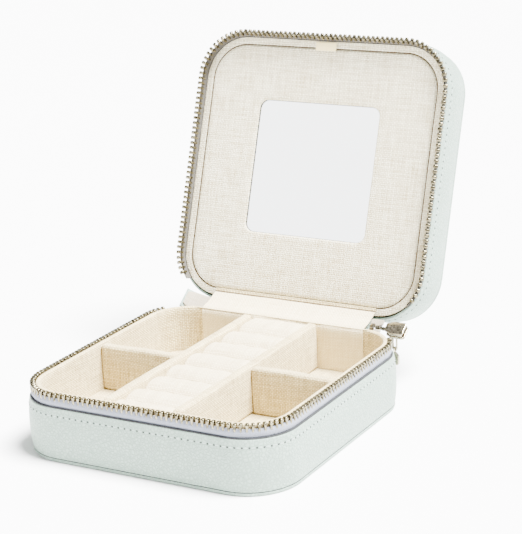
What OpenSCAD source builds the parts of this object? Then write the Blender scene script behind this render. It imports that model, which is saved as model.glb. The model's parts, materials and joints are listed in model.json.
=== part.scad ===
// Square zip-around travel jewelry box, drawn with its lid standing open.
// Origin: centre of the base's underside, +X to the right, -Y to the front, +Z up.
// The spine and lid are drawn as they stand when the box is shut, then opened about two creases.

/* [Case] */
// Width and depth of the case
case_size = 120; // [110:1:130]
// Radius of the upright corners, outside the leather
corner_r = 21; // [18:1:24]
// Height of the base's leather wall
base_h = 22.8; // [20:0.2:26]
// Height of the lid's leather wall
lid_h = 19.4; // [17:0.2:24]
// Gap between the two leather walls when the case is zipped shut
zip_gap = 9.8; // [9.4:0.1:10.4]
// Leather thickness
leather_t = 1.2; // [1:0.1:1.2]
// Thickness of the bottom and top panels
panel_t = 1.5; // [1.2:0.1:1.8]

/* [Opening] */
// Angle that each crease of the spine turns as the lid opens
crease_angle = 55; // [50:1:55]

/* [Zip] */
// Spacing of the teeth along the tape
tooth_pitch = 2.24; // [2.2:0.02:2.4]
// Width of a tooth's head along the tape
tooth_head_w = 0.95; // [0.8:0.05:0.95]
// Length of a tooth, from the tape's edge to its tip
tooth_len = 2.4; // [2.2:0.1:2.5]
// Thickness of a tooth through the tape
tooth_t = 2; // [1.6:0.1:2]
// Angle that the lid's free zip tape leans outwards
lid_tape_flare = 18; // [16:1:40]

/* [Inside] */
// Level of the inside floor
floor_z = 8.2; // [7.6:0.2:9]
// Level of the dividers' top edges
divider_top = 28.4; // [26:0.2:29]
// Thickness of the padded dividers
divider_t = 4.2; // [3.4:0.2:4.6]
// Width of the ring section, outside its dividers
ring_section_w = 36; // [32:1:40]
// Front-to-back pitch of the ring rolls
roll_pitch = 14.7; // [14.2:0.1:14.8]

/* [Mirror] */
// Side of the mirror's window
mirror_window = 59; // [56:1:64]
// Inset of the mirror panel from the case's outline
panel_inset = 5.3; // [5.3:0.1:6.2]

/* [Hidden] */

$fn = 96;
half = case_size / 2;
corner_c = half - corner_r;
gap = 0.1;
fit_gap = 0.05;

// heights when the case is shut
mid_z = base_h + zip_gap / 2;
lid_rim = base_h + zip_gap;
lid_top = lid_rim + lid_h;
lower_crease = [0, half, base_h];
upper_crease = [0, half, lid_rim];

// zip
tape_in = leather_t + fit_gap;
tape_t = 0.6;
tape_hidden = 4;
tooth_tip = mid_z + 1.1;
tape_top = tooth_tip - tooth_len - fit_gap;
tooth_in = 0.9;
tooth_leg_w = 0.7;
tooth_leg_len = 1.25;
teeth_mid_in = tooth_in + tooth_t / 2;
teeth_end_angle = 35;
tape_end_angle = 44;
tape_mid_in = tape_in + tape_t / 2;
flare_z = lid_rim - 0.15;
lid_tape_free = lid_rim - (2 * mid_z - tape_top);

// boards and linings, as insets from the outline
board_in = tape_in + tape_t + fit_gap;
board_t = 1.6;
board_floor_t = 2;
board_top = tape_top - gap;
lining_in = board_in + board_t + gap;
cavity_in = 5.4;
cavity_rear_in = 4.2;
lip_in = 3.1;
lip_top = 28.2;
cavity_r = corner_r - cavity_in;
cavity_d = case_size - cavity_in - cavity_rear_in;
cavity_y = (cavity_in - cavity_rear_in) / 2;
cavity_front = -half + cavity_in;
cavity_rear = half - cavity_rear_in;
floor_lining_t = 0.6;

// hinge band of linen, from the base's rear wall to the lid's rim
band_w = 79;
band_t = 0.5;
band_face = cavity_rear - fit_gap;
band_lip_z = lip_top + fit_gap;
band_lip_back = half - tape_in - tape_t - gap;
section_rear = band_face - band_t - fit_gap;
section_front = cavity_front + fit_gap;

// ring section and dividers
divider_out = ring_section_w / 2;
divider_in = divider_out - divider_t;
roll_top = divider_top - 1;
roll_gap = 0.4;
roll_w = roll_pitch - roll_gap;
roll_count = 7;
roll_len = 2 * (divider_in - gap);
cross_top = divider_top - 0.4;

// lid
rim_proud = 0.65;
rim_face = lid_rim - rim_proud;
rim_in = 2.3;
rim_wall_in = lining_in;
rim_inner = 5;
pocket_lining_t = 0.6;
lid_board_top = lid_top - panel_t - gap;

// mirror panel layers, from its face inwards
panel_face = lid_rim - 0.1;
cover_t = 0.55;
frame_t = 1.3;
back_t = 0.7;
back_linen_t = 0.45;
glass_size = mirror_window + 1.6;
glass_t = 1.2;
mirror_y = -1.3;
mirror_r = 4.2;
tab_w = 10;

// stitching
stitch_pitch = 2.84;
stitch_len = 1.9;
stitch_w = 0.5;
stitch_proud = 0.25;
stitch_from_edge = 3;

// slider, drawn on the spine when the case is shut
slider_x = 51.8;
slider_len = 8.4;
slider_w = 6.4;
spine_right_end = 40.6;
tape_right_end = 46;
chain_x = 42;
chain_links = 7;
slider_plate_t = 0.8;
slider_y = 58;
slider_channel = 2.1;
pull_pin_r = 0.6;
link_w = 4;
link_len = 6;
tab_len = 11;
pivot = [slider_x - 2.2, half + 5.6, base_h + 0.8];

function quarter(inset) = (corner_r - inset) * PI / 2 + 2 * corner_c;

// Opening of the case: the spine turns about the lower crease, the lid about both
module on_open_spine() {
    translate(lower_crease) rotate([-crease_angle, 0, 0]) translate(-lower_crease) children();
}

module on_open_lid() {
    on_open_spine()
    translate(upper_crease) rotate([-crease_angle, 0, 0]) translate(-upper_crease) children();
}

// Plan shapes
module rounded_plan(w, d, r) {
    square([w - 2 * r, d], center = true);
    square([w, d - 2 * r], center = true);
    for (sx = [-1, 1], sy = [-1, 1])
        translate([sx * (w / 2 - r), sy * (d / 2 - r)]) circle(r);
}

module case_plan(inset) {
    rounded_plan(case_size - 2 * inset, case_size - 2 * inset, corner_r - inset);
}

module ring_plan(outer, inner) {
    difference() {
        case_plan(outer);
        case_plan(inner);
    }
}

module cavity_plan(clear = 0) {
    translate([0, cavity_y])
    rounded_plan(case_size - 2 * (cavity_in + clear), cavity_d - 2 * clear, cavity_r - clear);
}

module slab(z0, z1) {
    translate([0, 0, z0]) linear_extrude(z1 - z0) children();
}

module block(x, y, z) {
    translate([x[0], y[0], z[0]]) cube([x[1] - x[0], y[1] - y[0], z[1] - z[0]]);
}

// Places children on the outline at arc length s, clockwise from the rear right corner.
// The children's +X points outwards.
module on_outline(s, inset) {
    r = corner_r - inset;
    k = floor(s / quarter(inset));
    t = s - k * quarter(inset);
    arc = r * PI / 2;
    turn = min(t, arc) / r * 180 / PI;
    rotate([0, 0, -90 * k])
    translate([corner_c, corner_c - max(t - arc, 0), 0])
    rotate([0, 0, 90 - turn])
    translate([r, 0, 0])
    children();
}

// The rear of the outline, from the corner angle where the zip's tape ends
module behind_tape_ends(angle) {
    reach = 40;
    difference() {
        square(2 * half + 2, center = true);
        translate([-half - 2, -half - 2]) square([case_size + 4, half + 2 + corner_c]);
        for (sx = [-1, 1])
            translate([sx * corner_c, corner_c])
            polygon([[0, 0], [sx * reach, 0], [sx * reach, reach * tan(angle)]]);
    }
}

// Zip parts shared by the base and, turned over, by the lid
module tooth() {
    leg = tooth_leg_w / 2;
    head = tooth_head_w / 2;
    translate([-tooth_t / 2, 0, 0])
    rotate([90, 0, 90])
    linear_extrude(tooth_t)
    polygon([[-leg, 0], [leg, 0], [leg, tooth_leg_len], [head, tooth_leg_len + 0.3], [head, tooth_len],
        [-head, tooth_len], [-head, tooth_leg_len + 0.3], [-leg, tooth_leg_len]]);
}

// Places its children at each tooth of a row
module teeth_row(shift) {
    r = corner_r - teeth_mid_in;
    first = r * (90 - teeth_end_angle) * PI / 180;
    run = 4 * quarter(teeth_mid_in) - 2 * corner_c - 2 * first;
    count = floor(run / tooth_pitch);
    step = run / count;
    for (i = [0 : count - 1])
        on_outline(first + (i + shift) * step, teeth_mid_in) children();
}

module tape_plan() {
    difference() {
        ring_plan(tape_in, tape_in + tape_t);
        behind_tape_ends(tape_end_angle);
    }
}

module stitch_row() {
    run = 4 * quarter(0);
    count = round(run / stitch_pitch);
    for (i = [0 : count - 1])
        on_outline((i + 0.5) * run / count, 0)
        translate([stitch_proud / 2 + 0.01, 0, 0])
        cube([stitch_proud, stitch_len, stitch_w], center = true);
}

// Base
module base_leather_wall() {
    color([0.80, 0.85, 0.83]) slab(panel_t + gap, base_h) ring_plan(0, leather_t);
}

module base_bottom_panel() {
    color([0.78, 0.83, 0.81]) slab(0, panel_t) case_plan(0.1);
}

module base_board_tray() {
    color([0.75, 0.72, 0.66]) {
        slab(panel_t + gap, panel_t + gap + board_floor_t) case_plan(board_in);
        slab(panel_t + gap, board_top) ring_plan(board_in, board_in + board_t);
    }
}

module base_stitching() {
    color([0.70, 0.74, 0.73]) translate([0, 0, base_h - stitch_from_edge]) stitch_row();
}

module base_zip_tape() {
    color([0.72, 0.74, 0.77]) slab(base_h - tape_hidden, tape_top) tape_plan();
}

module base_zip_teeth() {
    color([0.66, 0.64, 0.58]) translate([0, 0, tooth_tip - tooth_len]) teeth_row(0.25) tooth();
}

module base_lining_wall() {
    color([0.93, 0.90, 0.82]) {
        slab(floor_z + fit_gap, board_top + gap) difference() {
            case_plan(lining_in);
            cavity_plan();
        }
        slab(board_top + gap, lip_top) difference() {
            case_plan(lip_in);
            cavity_plan();
        }
    }
}

module base_floor_foam() {
    color([0.85, 0.84, 0.80])
    slab(panel_t + board_floor_t + 2 * gap, floor_z - floor_lining_t - fit_gap) case_plan(lining_in);
}

module base_floor_lining() {
    color([0.93, 0.90, 0.82]) slab(floor_z - floor_lining_t, floor_z) case_plan(lining_in);
}

module ring_divider(side) {
    inner = side * divider_in;
    outer = side * divider_out;
    color([0.94, 0.91, 0.84])
    block([min(inner, outer), max(inner, outer)], [section_front, section_rear],
        [floor_z + fit_gap, divider_top]);
}

module ring_divider_left() {
    ring_divider(-1);
}

module ring_divider_right() {
    ring_divider(1);
}

module cross_divider(side) {
    inner = side * (divider_out + fit_gap);
    outer = side * (half - cavity_in - fit_gap);
    color([0.88, 0.82, 0.70])
    block([min(inner, outer), max(inner, outer)], [-divider_t / 2, divider_t / 2],
        [floor_z + fit_gap, cross_top]);
}

module cross_divider_left() {
    cross_divider(-1);
}

module cross_divider_right() {
    cross_divider(1);
}

// A ring roll: an upright padded strip with a half-round top
module roll_between(y0, y1) {
    r = (y1 - y0) / 2;
    spring = roll_top - r;
    color([0.95, 0.93, 0.87])
    translate([-roll_len / 2, 0, 0])
    rotate([90, 0, 90])
    linear_extrude(roll_len) {
        translate([y0, floor_z + fit_gap]) square([y1 - y0, spring - floor_z - fit_gap]);
        translate([(y0 + y1) / 2, spring]) circle(r);
    }
}

module ring_roll(i) {
    rear = section_rear - gap - (i - 1) * roll_pitch;
    roll_between(rear - roll_w, rear);
}

module ring_roll_front_pad() {
    roll_between(section_front + gap, section_rear - gap - roll_count * roll_pitch);
}

module hinge_band_base() {
    color([0.95, 0.92, 0.85])
    translate([-band_w / 2, 0, 0])
    rotate([90, 0, 90])
    linear_extrude(band_w)
    polygon([[band_face - band_t, floor_z + fit_gap], [band_face, floor_z + fit_gap],
        [band_face, band_lip_z], [band_lip_back, band_lip_z], [band_lip_back, band_lip_z + band_t],
        [band_face - band_t, band_lip_z + band_t]]);
}

// Spine
module spine_strip(outer, inner, x0, x1, z0, z1) {
    slab(z0, z1) intersection() {
        ring_plan(outer, inner);
        translate([x0, corner_c]) square([x1 - x0, half]);
    }
}

module spine_leather() {
    color([0.80, 0.85, 0.83])
    on_open_spine() spine_strip(0, leather_t, -53, spine_right_end, base_h + gap, lid_rim - gap);
}

module spine_lining() {
    color([0.78, 0.74, 0.66])
    on_open_spine()
    spine_strip(tape_in, tape_in + tape_t, -37.4, 37.4, base_h + gap, lid_rim - gap);
}

// The end of the zip's two tapes on one side of the spine: a lower and an upper lobe
module spine_tape(x0, x1) {
    on_open_spine() {
        spine_strip(tape_in, tape_in + tape_t, x0, x1, base_h + gap, mid_z - 0.8);
        spine_strip(tape_in, tape_in + tape_t, x0, x1, mid_z + 0.8, lid_rim - gap);
    }
}

module spine_tape_left() {
    color([0.74, 0.71, 0.66]) spine_tape(-52.4, -37.6);
}

module spine_tape_right() {
    color([0.74, 0.71, 0.66]) spine_tape(37.6, tape_right_end);
}

module zip_chain_end() {
    chain_y = slider_y - 0.55;
    link = 0.9;
    color([0.66, 0.64, 0.58])
    on_open_spine()
    for (i = [0 : chain_links - 1])
        translate([chain_x + i * tooth_pitch / 2, chain_y, mid_z - 0.65 + (i % 2 == 0 ? 0.1 : -0.1)])
        cube([link, 1.1, 1.3]);
}

module zip_end_stop() {
    color([0.75, 0.74, 0.70])
    on_open_spine()
    block([chain_x - 2.1, chain_x - 0.3], [slider_y - 1, slider_y - 0.2], [mid_z - 1.3, mid_z + 1.3]);
}

module hinge_band_span() {
    start = [band_lip_back + fit_gap + 0.2, band_lip_z + 0.1];
    end = [68.1, 32.5];
    thick = [-0.2, band_t];
    color([0.95, 0.92, 0.85])
    translate([-band_w / 2, 0, 0])
    rotate([90, 0, 90])
    linear_extrude(band_w)
    polygon([start, end, end + thick, start + thick]);
}

// Slider and its two-piece pull
module slider_plate(y0) {
    block([slider_x - slider_len / 2, slider_x + slider_len / 2], [y0, y0 + slider_plate_t],
        [mid_z - slider_w / 2, mid_z + slider_w / 2]);
}

module zip_slider() {
    inner_y = slider_y - slider_channel / 2;
    post = 1.6;
    flange = 0.6;
    color([0.86, 0.86, 0.84])
    on_open_spine() {
        slider_plate(inner_y - slider_plate_t);
        slider_plate(inner_y + slider_channel);
        block([slider_x + 2.4, slider_x + 2.4 + post], [inner_y, inner_y + slider_channel],
            [mid_z - post / 2, mid_z + post / 2]);
        for (s = [-1, 1])
            block([slider_x - slider_len / 2, slider_x + slider_len / 2], [inner_y, inner_y + 0.6],
                s < 0 ? [mid_z - slider_w / 2, mid_z - slider_w / 2 + flange]
                    : [mid_z + slider_w / 2 - flange, mid_z + slider_w / 2]);
    }
    // bridge: two feet and the round bar that the pull's link hangs from
    color([0.86, 0.86, 0.84]) {
        for (s = [-1, 1])
            translate([pivot[0] + s * (link_w / 2 - 0.1) - 0.5, 0, 0])
            bridge_foot();
        translate([pivot[0] - link_w / 2, pivot[1], pivot[2]])
        rotate([0, 90, 0])
        cylinder(h = link_w, r = pull_pin_r);
    }
}

// One foot of the bridge, from the open slider's outer plate to the bar
module bridge_foot() {
    foot_t = 1;
    root = [half + 3.4, base_h + 2.3];
    rotate([90, 0, 90])
    linear_extrude(foot_t) {
        translate([pivot[1], pivot[2]]) circle(0.9);
        polygon([[pivot[1] - 0.9, pivot[2] + 0.1], [pivot[1] + 0.9, pivot[2]],
            root + [1.9, 0.2], root + [0.1, 0.9]]);
    }
}

// Wire link: a ring around the bar above, and a lower bar that carries the tab
module pull_link() {
    eye_w = 2.6;
    wire = 1;
    eye_r = pull_pin_r + 0.06;
    x0 = pivot[0] - eye_w / 2;
    color([0.86, 0.86, 0.84]) {
        difference() {
            union() {
                translate([x0, pivot[1], pivot[2]]) rotate([0, 90, 0]) cylinder(h = eye_w, r = eye_r + 0.7);
                for (x = [x0, x0 + eye_w - wire])
                    block([x, x + wire], [pivot[1] - 0.5, pivot[1] + 0.5],
                        [pivot[2] - link_len, pivot[2] - 0.9]);
            }
            translate([x0 - 1, pivot[1], pivot[2]]) rotate([0, 90, 0]) cylinder(h = eye_w + 2, r = eye_r);
        }
        translate([x0, pivot[1], pivot[2] - link_len]) rotate([0, 90, 0]) cylinder(h = eye_w, r = pull_pin_r);
    }
}

module pull_tab() {
    eye_w = 0.5;
    top = pivot[2] - link_len;
    tab_half = 1.8;
    tab_t = 1.2;
    bore = pull_pin_r + 0.06;
    color([0.84, 0.84, 0.82])
    difference() {
        union() {
            translate([pivot[0] - eye_w / 2, pivot[1], top]) rotate([0, 90, 0]) cylinder(h = eye_w, r = 1.4);
            block([pivot[0] - eye_w / 2, pivot[0] + eye_w / 2], [pivot[1] - tab_t / 2, pivot[1] + tab_t / 2],
                [top - 2.6, top - 0.9]);
            block([pivot[0] - tab_half, pivot[0] + tab_half], [pivot[1] - tab_t / 2, pivot[1] + tab_t / 2],
                [top - tab_len + 4, top - 2.4]);
        }
        translate([pivot[0] - 2, pivot[1], top]) rotate([0, 90, 0]) cylinder(h = 4, r = bore);
    }
}

// Lid
module lid_leather_wall() {
    color([0.80, 0.85, 0.83])
    on_open_lid() slab(lid_rim, lid_top - panel_t - gap) ring_plan(0, leather_t);
}

module lid_top_panel() {
    color([0.78, 0.83, 0.81]) on_open_lid() slab(lid_top - panel_t, lid_top) case_plan(0.1);
}

module lid_board_tray() {
    color([0.75, 0.72, 0.66])
    on_open_lid() {
        slab(lid_board_top - board_floor_t, lid_board_top) case_plan(board_in);
        slab(lid_rim, lid_board_top) ring_plan(board_in, board_in + board_t);
    }
}

module lid_stitching() {
    color([0.70, 0.74, 0.73])
    on_open_lid() translate([0, 0, lid_rim + stitch_from_edge]) stitch_row();
}

module lid_zip_tape() {
    color([0.72, 0.74, 0.77])
    on_open_lid() {
        rotate([0, 0, -90]) tape_straight();
        tape_side();
        mirror([1, 0, 0]) tape_side();
    }
}

// The right side of the lid's tape with its front corner and what there is of its rear corner
module tape_side() {
    tape_straight();
    tape_corner(-1, -90, 90);
    tape_corner(1, 0, tape_end_angle);
}

module tape_straight() {
    translate([corner_c, 0, 0])
    rotate([90, 0, 0])
    linear_extrude(2 * corner_c, center = true) lid_tape_section();
}

// Section of the lid's tape: straight inside the leather, leaning outwards below it
module lid_tape_section() {
    half_t = tape_t / 2;
    middle = corner_r - tape_mid_in;
    bend = half_t * tan(lid_tape_flare / 2);
    end = [middle + lid_tape_free * sin(lid_tape_flare), flare_z - lid_tape_free * cos(lid_tape_flare)];
    across = half_t * [cos(lid_tape_flare), sin(lid_tape_flare)];
    polygon([[middle - half_t, lid_rim + tape_hidden], [middle - half_t, flare_z - bend], end - across,
        end + across, [middle + half_t, flare_z + bend], [middle + half_t, lid_rim + tape_hidden]]);
}

// One right-hand corner of the lid's tape, swept through an angle from a start angle
module tape_corner(sy, start, sweep) {
    translate([corner_c, sy * corner_c, 0])
    rotate([0, 0, start])
    rotate_extrude(angle = sweep) lid_tape_section();
}

module lid_zip_teeth() {
    color([0.66, 0.64, 0.58])
    on_open_lid()
    translate([0, 0, flare_z])
    teeth_row(0.75)
    translate([teeth_mid_in - tape_mid_in, 0, 0])
    rotate([0, 180 - lid_tape_flare, 0])
    translate([teeth_mid_in - tape_mid_in, 0, lid_tape_free + fit_gap])
    tooth();
}

module lid_lining_frame() {
    color([0.92, 0.90, 0.84])
    on_open_lid() {
        slab(rim_face, lid_rim - fit_gap) ring_plan(rim_in, rim_inner);
        slab(lid_rim - fit_gap, lid_board_top - board_floor_t - gap - pocket_lining_t)
            ring_plan(rim_wall_in, rim_inner);
    }
}

module lid_pocket_lining() {
    ceiling = lid_board_top - board_floor_t - fit_gap;
    color([0.92, 0.90, 0.84])
    on_open_lid() slab(ceiling - pocket_lining_t + fit_gap, ceiling) case_plan(lining_in);
}

module hinge_band_lid() {
    color([0.86, 0.80, 0.70])
    on_open_lid()
    block([-band_w / 2, band_w / 2], [half - rim_inner, half - 3.7],
        [rim_face - fit_gap - band_t, rim_face - fit_gap]);
}

module window_plan(size, r) {
    translate([0, mirror_y]) rounded_plan(size, size, r);
}

module mirror_panel_linen() {
    color([0.94, 0.92, 0.86])
    on_open_lid() slab(panel_face, panel_face + cover_t) difference() {
        case_plan(panel_inset);
        window_plan(mirror_window, mirror_r);
    }
}

module mirror_frame_board() {
    z0 = panel_face + cover_t + fit_gap;
    color([0.75, 0.72, 0.66])
    on_open_lid() slab(z0, z0 + frame_t) difference() {
        case_plan(panel_inset + 0.2);
        window_plan(glass_size + 0.4, mirror_r + 1);
    }
}

module mirror_glass() {
    z0 = panel_face + cover_t + fit_gap;
    color([0.90, 0.92, 0.93]) on_open_lid() slab(z0, z0 + glass_t) window_plan(glass_size, mirror_r + 0.8);
}

module mirror_backing_board() {
    z0 = panel_face + cover_t + frame_t + 2 * fit_gap;
    color([0.75, 0.72, 0.66]) on_open_lid() slab(z0, z0 + back_t) case_plan(panel_inset + 0.2);
}

module mirror_panel_back_linen() {
    z0 = panel_face + cover_t + frame_t + back_t + 3 * fit_gap;
    color([0.94, 0.92, 0.86]) on_open_lid() slab(z0, z0 + back_linen_t) case_plan(panel_inset);
}

module mirror_ribbon_tab() {
    edge = -half + panel_inset;
    low = rim_face - 0.7;
    step_z = panel_face - fit_gap;
    color([0.93, 0.88, 0.72])
    on_open_lid()
    translate([-tab_w / 2, 0, 0])
    rotate([90, 0, 90])
    linear_extrude(tab_w)
    polygon([[edge - 2.8, low], [edge + 2, low], [edge + 2, step_z], [edge + 0.3, step_z],
        [edge + 0.3, low + 0.6], [edge - 2.8, low + 0.6]]);
}

base_leather_wall();
base_bottom_panel();
base_board_tray();
base_stitching();
base_zip_tape();
base_zip_teeth();
base_lining_wall();
base_floor_foam();
base_floor_lining();
ring_divider_left();
ring_divider_right();
cross_divider_left();
cross_divider_right();
ring_roll(1);  // ring_roll_1
ring_roll(2);  // ring_roll_2
ring_roll(3);  // ring_roll_3
ring_roll(4);  // ring_roll_4
ring_roll(5);  // ring_roll_5
ring_roll(6);  // ring_roll_6
ring_roll(7);  // ring_roll_7
ring_roll_front_pad();
hinge_band_base();
spine_leather();
spine_lining();
spine_tape_left();
spine_tape_right();
zip_chain_end();
zip_end_stop();
hinge_band_span();
zip_slider();
pull_link();
pull_tab();
lid_leather_wall();
lid_top_panel();
lid_board_tray();
lid_stitching();
lid_zip_tape();
lid_zip_teeth();
lid_lining_frame();
lid_pocket_lining();
hinge_band_lid();
mirror_panel_linen();
mirror_frame_board();
mirror_glass();
mirror_backing_board();
mirror_panel_back_linen();
mirror_ribbon_tab();
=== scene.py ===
import json
import math

import bmesh
import bpy
import numpy as np
from mathutils import Matrix, Vector


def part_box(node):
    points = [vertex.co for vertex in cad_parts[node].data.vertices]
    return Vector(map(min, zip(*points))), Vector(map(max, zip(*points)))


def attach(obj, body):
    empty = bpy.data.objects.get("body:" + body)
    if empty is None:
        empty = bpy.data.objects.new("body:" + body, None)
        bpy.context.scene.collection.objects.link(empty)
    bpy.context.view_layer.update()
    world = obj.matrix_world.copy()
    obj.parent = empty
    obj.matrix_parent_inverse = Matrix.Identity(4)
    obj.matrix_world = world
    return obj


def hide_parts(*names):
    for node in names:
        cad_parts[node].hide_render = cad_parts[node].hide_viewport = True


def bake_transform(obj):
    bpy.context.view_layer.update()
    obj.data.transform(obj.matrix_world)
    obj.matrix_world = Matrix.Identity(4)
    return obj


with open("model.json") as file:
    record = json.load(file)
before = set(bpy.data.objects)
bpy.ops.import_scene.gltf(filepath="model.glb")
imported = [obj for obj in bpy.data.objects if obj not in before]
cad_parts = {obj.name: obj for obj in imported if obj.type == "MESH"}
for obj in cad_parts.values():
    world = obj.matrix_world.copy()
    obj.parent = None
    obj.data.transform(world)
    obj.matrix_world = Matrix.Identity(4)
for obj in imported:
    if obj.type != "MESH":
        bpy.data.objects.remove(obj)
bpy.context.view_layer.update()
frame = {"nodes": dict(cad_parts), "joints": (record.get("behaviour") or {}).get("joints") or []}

MM = 0.001
rng = np.random.default_rng(7)


# ---------------------------------------------------------------- sizes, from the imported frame
def joint(name):
    return next(j for j in frame["joints"] if j["name"] == name)


def about_crease(point, degrees):
    turn = Matrix.Rotation(math.radians(degrees), 4, "X")
    return Matrix.Translation(point) @ turn @ Matrix.Translation(-Vector(point))


lower_crease = Vector(joint("spine_crease")["pos_m"])
crease_angle = joint("spine_crease")["range_deg"][0]
open_upper = Vector(joint("lid_crease")["pos_m"])
OPEN_SPINE = about_crease(lower_crease, crease_angle)
shut_upper = OPEN_SPINE.inverted() @ open_upper
OPEN_LID = OPEN_SPINE @ about_crease(shut_upper, crease_angle)


def shut_box(node, opening):
    """A node's box in millimetres as it stands with the case shut, before `opening` turned it."""
    back = opening.inverted()
    points = np.array([back @ v.co for v in frame["nodes"][node].data.vertices]) / MM
    return points.min(0), points.max(0)


def node_box(node):
    low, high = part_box(node)
    return np.array(low) / MM, np.array(high) / MM


wall_high = node_box("base_leather_wall")[1]
HALF = wall_high[0]
BASE_TOP = wall_high[2]
LID_RIM = shut_upper.z / MM
MID_Z = (BASE_TOP + LID_RIM) / 2
LID_TOP = shut_box("lid_top_panel", OPEN_LID)[1][2]
CORNER_R = 21.0
CORE = HALF - CORNER_R
LEATHER_T = 1.2
PANEL_TOP = node_box("base_bottom_panel")[1][2]


# ---------------------------------------------------------------- mesh building
def smooth_by_angle(mesh, degrees=38):
    bm = bmesh.new()
    bm.from_mesh(mesh)
    bmesh.ops.recalc_face_normals(bm, faces=bm.faces)
    limit = math.radians(degrees)
    for face in bm.faces:
        face.smooth = True
    for edge in bm.edges:
        edge.smooth = len(edge.link_faces) == 2 and edge.calc_face_angle(0) < limit
    bm.to_mesh(mesh)
    bm.free()


def make_piece(name, verts, faces, material, body, slot, place=None, angle=38):
    """Builds one object from millimetre vertices and rides it on a body."""
    mesh = bpy.data.meshes.new(name)
    mesh.from_pydata([tuple(v) for v in np.asarray(verts) * MM], [], [tuple(f) for f in faces])
    mesh.validate()
    smooth_by_angle(mesh, angle)
    mesh.materials.append(material)
    piece = bpy.data.objects.new(name, mesh)
    bpy.context.scene.collection.objects.link(piece)
    if place is not None:
        piece.matrix_world = place
    if body:
        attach(piece, body)
    return piece


def outline_stations(arc_steps=20, side_steps=16):
    """Stations round the rounded square: (core x, y, normal x, y), clockwise from the rear."""
    stations = []
    for k in range(4):
        turn = math.radians(90 - 90 * k)
        diagonal = turn - math.pi / 4
        centre = CORE * math.sqrt(2) * np.array([math.cos(diagonal), math.sin(diagonal)])
        for i in range(arc_steps):
            a = turn - i / arc_steps * math.pi / 2
            stations.append((centre[0], centre[1], math.cos(a), math.sin(a)))
        a = turn - math.pi / 2
        along = np.array([math.sin(a), -math.cos(a)])
        for i in range(side_steps):
            point = centre + along * (2 * CORE * i / side_steps)
            stations.append((point[0], point[1], math.cos(a), math.sin(a)))
    return np.array(stations)


STATIONS = outline_stations()


def station_angle(station):
    return math.degrees(math.atan2(station[3], station[2]))


def zip_stations(end_angle):
    """Stations from the rear right corner, round the front, to the rear left corner."""
    full = outline_stations(arc_steps=28, side_steps=16)
    angles = np.array([station_angle(s) for s in full])
    rear = (angles > end_angle) & (angles < 180 - end_angle)
    first = np.where(~rear)[0][0]
    return np.roll(full, -first, axis=0)[~np.roll(rear, -first)]


def outline_ring(inset, z):
    """The outline drawn in by inset, as a level loop of points."""
    reach = CORNER_R - inset
    return np.stack([STATIONS[:, 0] + STATIONS[:, 2] * reach, STATIONS[:, 1] + STATIONS[:, 3] * reach,
                     np.full(len(STATIONS), z)], 1)


def ring_angles(count):
    """Angles that divide a full turn evenly, without repeating the first."""
    return np.linspace(0, 2 * math.pi, count + 1)[:-1]


def quads(loops, n, wrap=False):
    """Faces that join each loop of n points to the next; wrap also joins the last loop to the first."""
    return [(i * n + j, i * n + (j + 1) % n, (i + 1) % loops * n + (j + 1) % n, (i + 1) % loops * n + j)
            for i in range(loops if wrap else loops - 1) for j in range(n)]


def end_caps(loops, n):
    """The two faces that close a tube at its first and last loop."""
    return [tuple(range(n - 1, -1, -1)), tuple(range((loops - 1) * n, loops * n))]


def rounded_loop(points, radii, steps=5):
    """A closed polygon with its corners rounded by arcs. Points are (inset, z)."""
    points = [np.array(p, float) for p in points]
    radii = [radii] * len(points) if np.isscalar(radii) else radii
    out = []
    for i, p in enumerate(points):
        before = points[i - 1] - p
        after = points[(i + 1) % len(points)] - p
        la, lb = np.linalg.norm(before), np.linalg.norm(after)
        ua, ub = before / la, after / lb
        half_angle = math.acos(np.clip(ua @ ub, -1, 1)) / 2
        cut = min(radii[i] / max(math.tan(half_angle), 1e-3), 0.49 * la, 0.49 * lb)
        if radii[i] <= 0 or half_angle > math.pi / 2 - 0.02:
            out.append(p)
            continue
        start, end = p + ua * cut, p + ub * cut
        for t in np.linspace(0, 1, steps + 1):
            out.append((1 - t) ** 2 * start + 2 * t * (1 - t) * p + t ** 2 * end)
    return out


def sweep(profile, stations=None, closed=True, warp=None):
    """Sweeps a closed (inset, z) profile round the stations. Returns verts and faces."""
    stations = STATIONS if stations is None else stations
    profile = np.array(profile)
    reach = CORNER_R - profile[:, 0]
    verts = np.concatenate([np.stack([cx + nx * reach, cy + ny * reach, profile[:, 1]], 1)
                            for cx, cy, nx, ny in stations])
    if warp is not None:
        verts = warp(verts)
    faces = quads(len(stations), len(profile), wrap=closed)
    if not closed:
        faces += end_caps(len(stations), len(profile))
    return verts, faces


def plate(profile, rings, warp=None):
    """A filled plate: an (inset, z) edge profile with flat faces that close it at its start and its end."""
    loops = [outline_ring(inset, z) for inset, z in profile]
    last = loops[-1]
    loops += [last * np.array([1 - k / rings, 1 - k / rings, 1]) for k in range(1, rings)]
    n = len(last)
    top, middle = (len(loops) - 1) * n, len(loops) * n
    verts = np.vstack([*loops, [[0, 0, profile[-1][1]]]])
    faces = quads(len(loops), n)
    faces.append(tuple(range(n)))
    faces += [(top + j, top + (j + 1) % n, middle) for j in range(n)]
    return verts if warp is None else warp(verts), faces


def prism(outline, x0, x1, steps=1):
    """Extrudes a closed (y, z) outline along X."""
    outline = np.array(outline)
    n = len(outline)
    loops = [np.column_stack([np.full(n, x), outline]) for x in np.linspace(x0, x1, steps + 1)]
    return np.concatenate(loops), quads(steps + 1, n) + end_caps(steps + 1, n)


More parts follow.
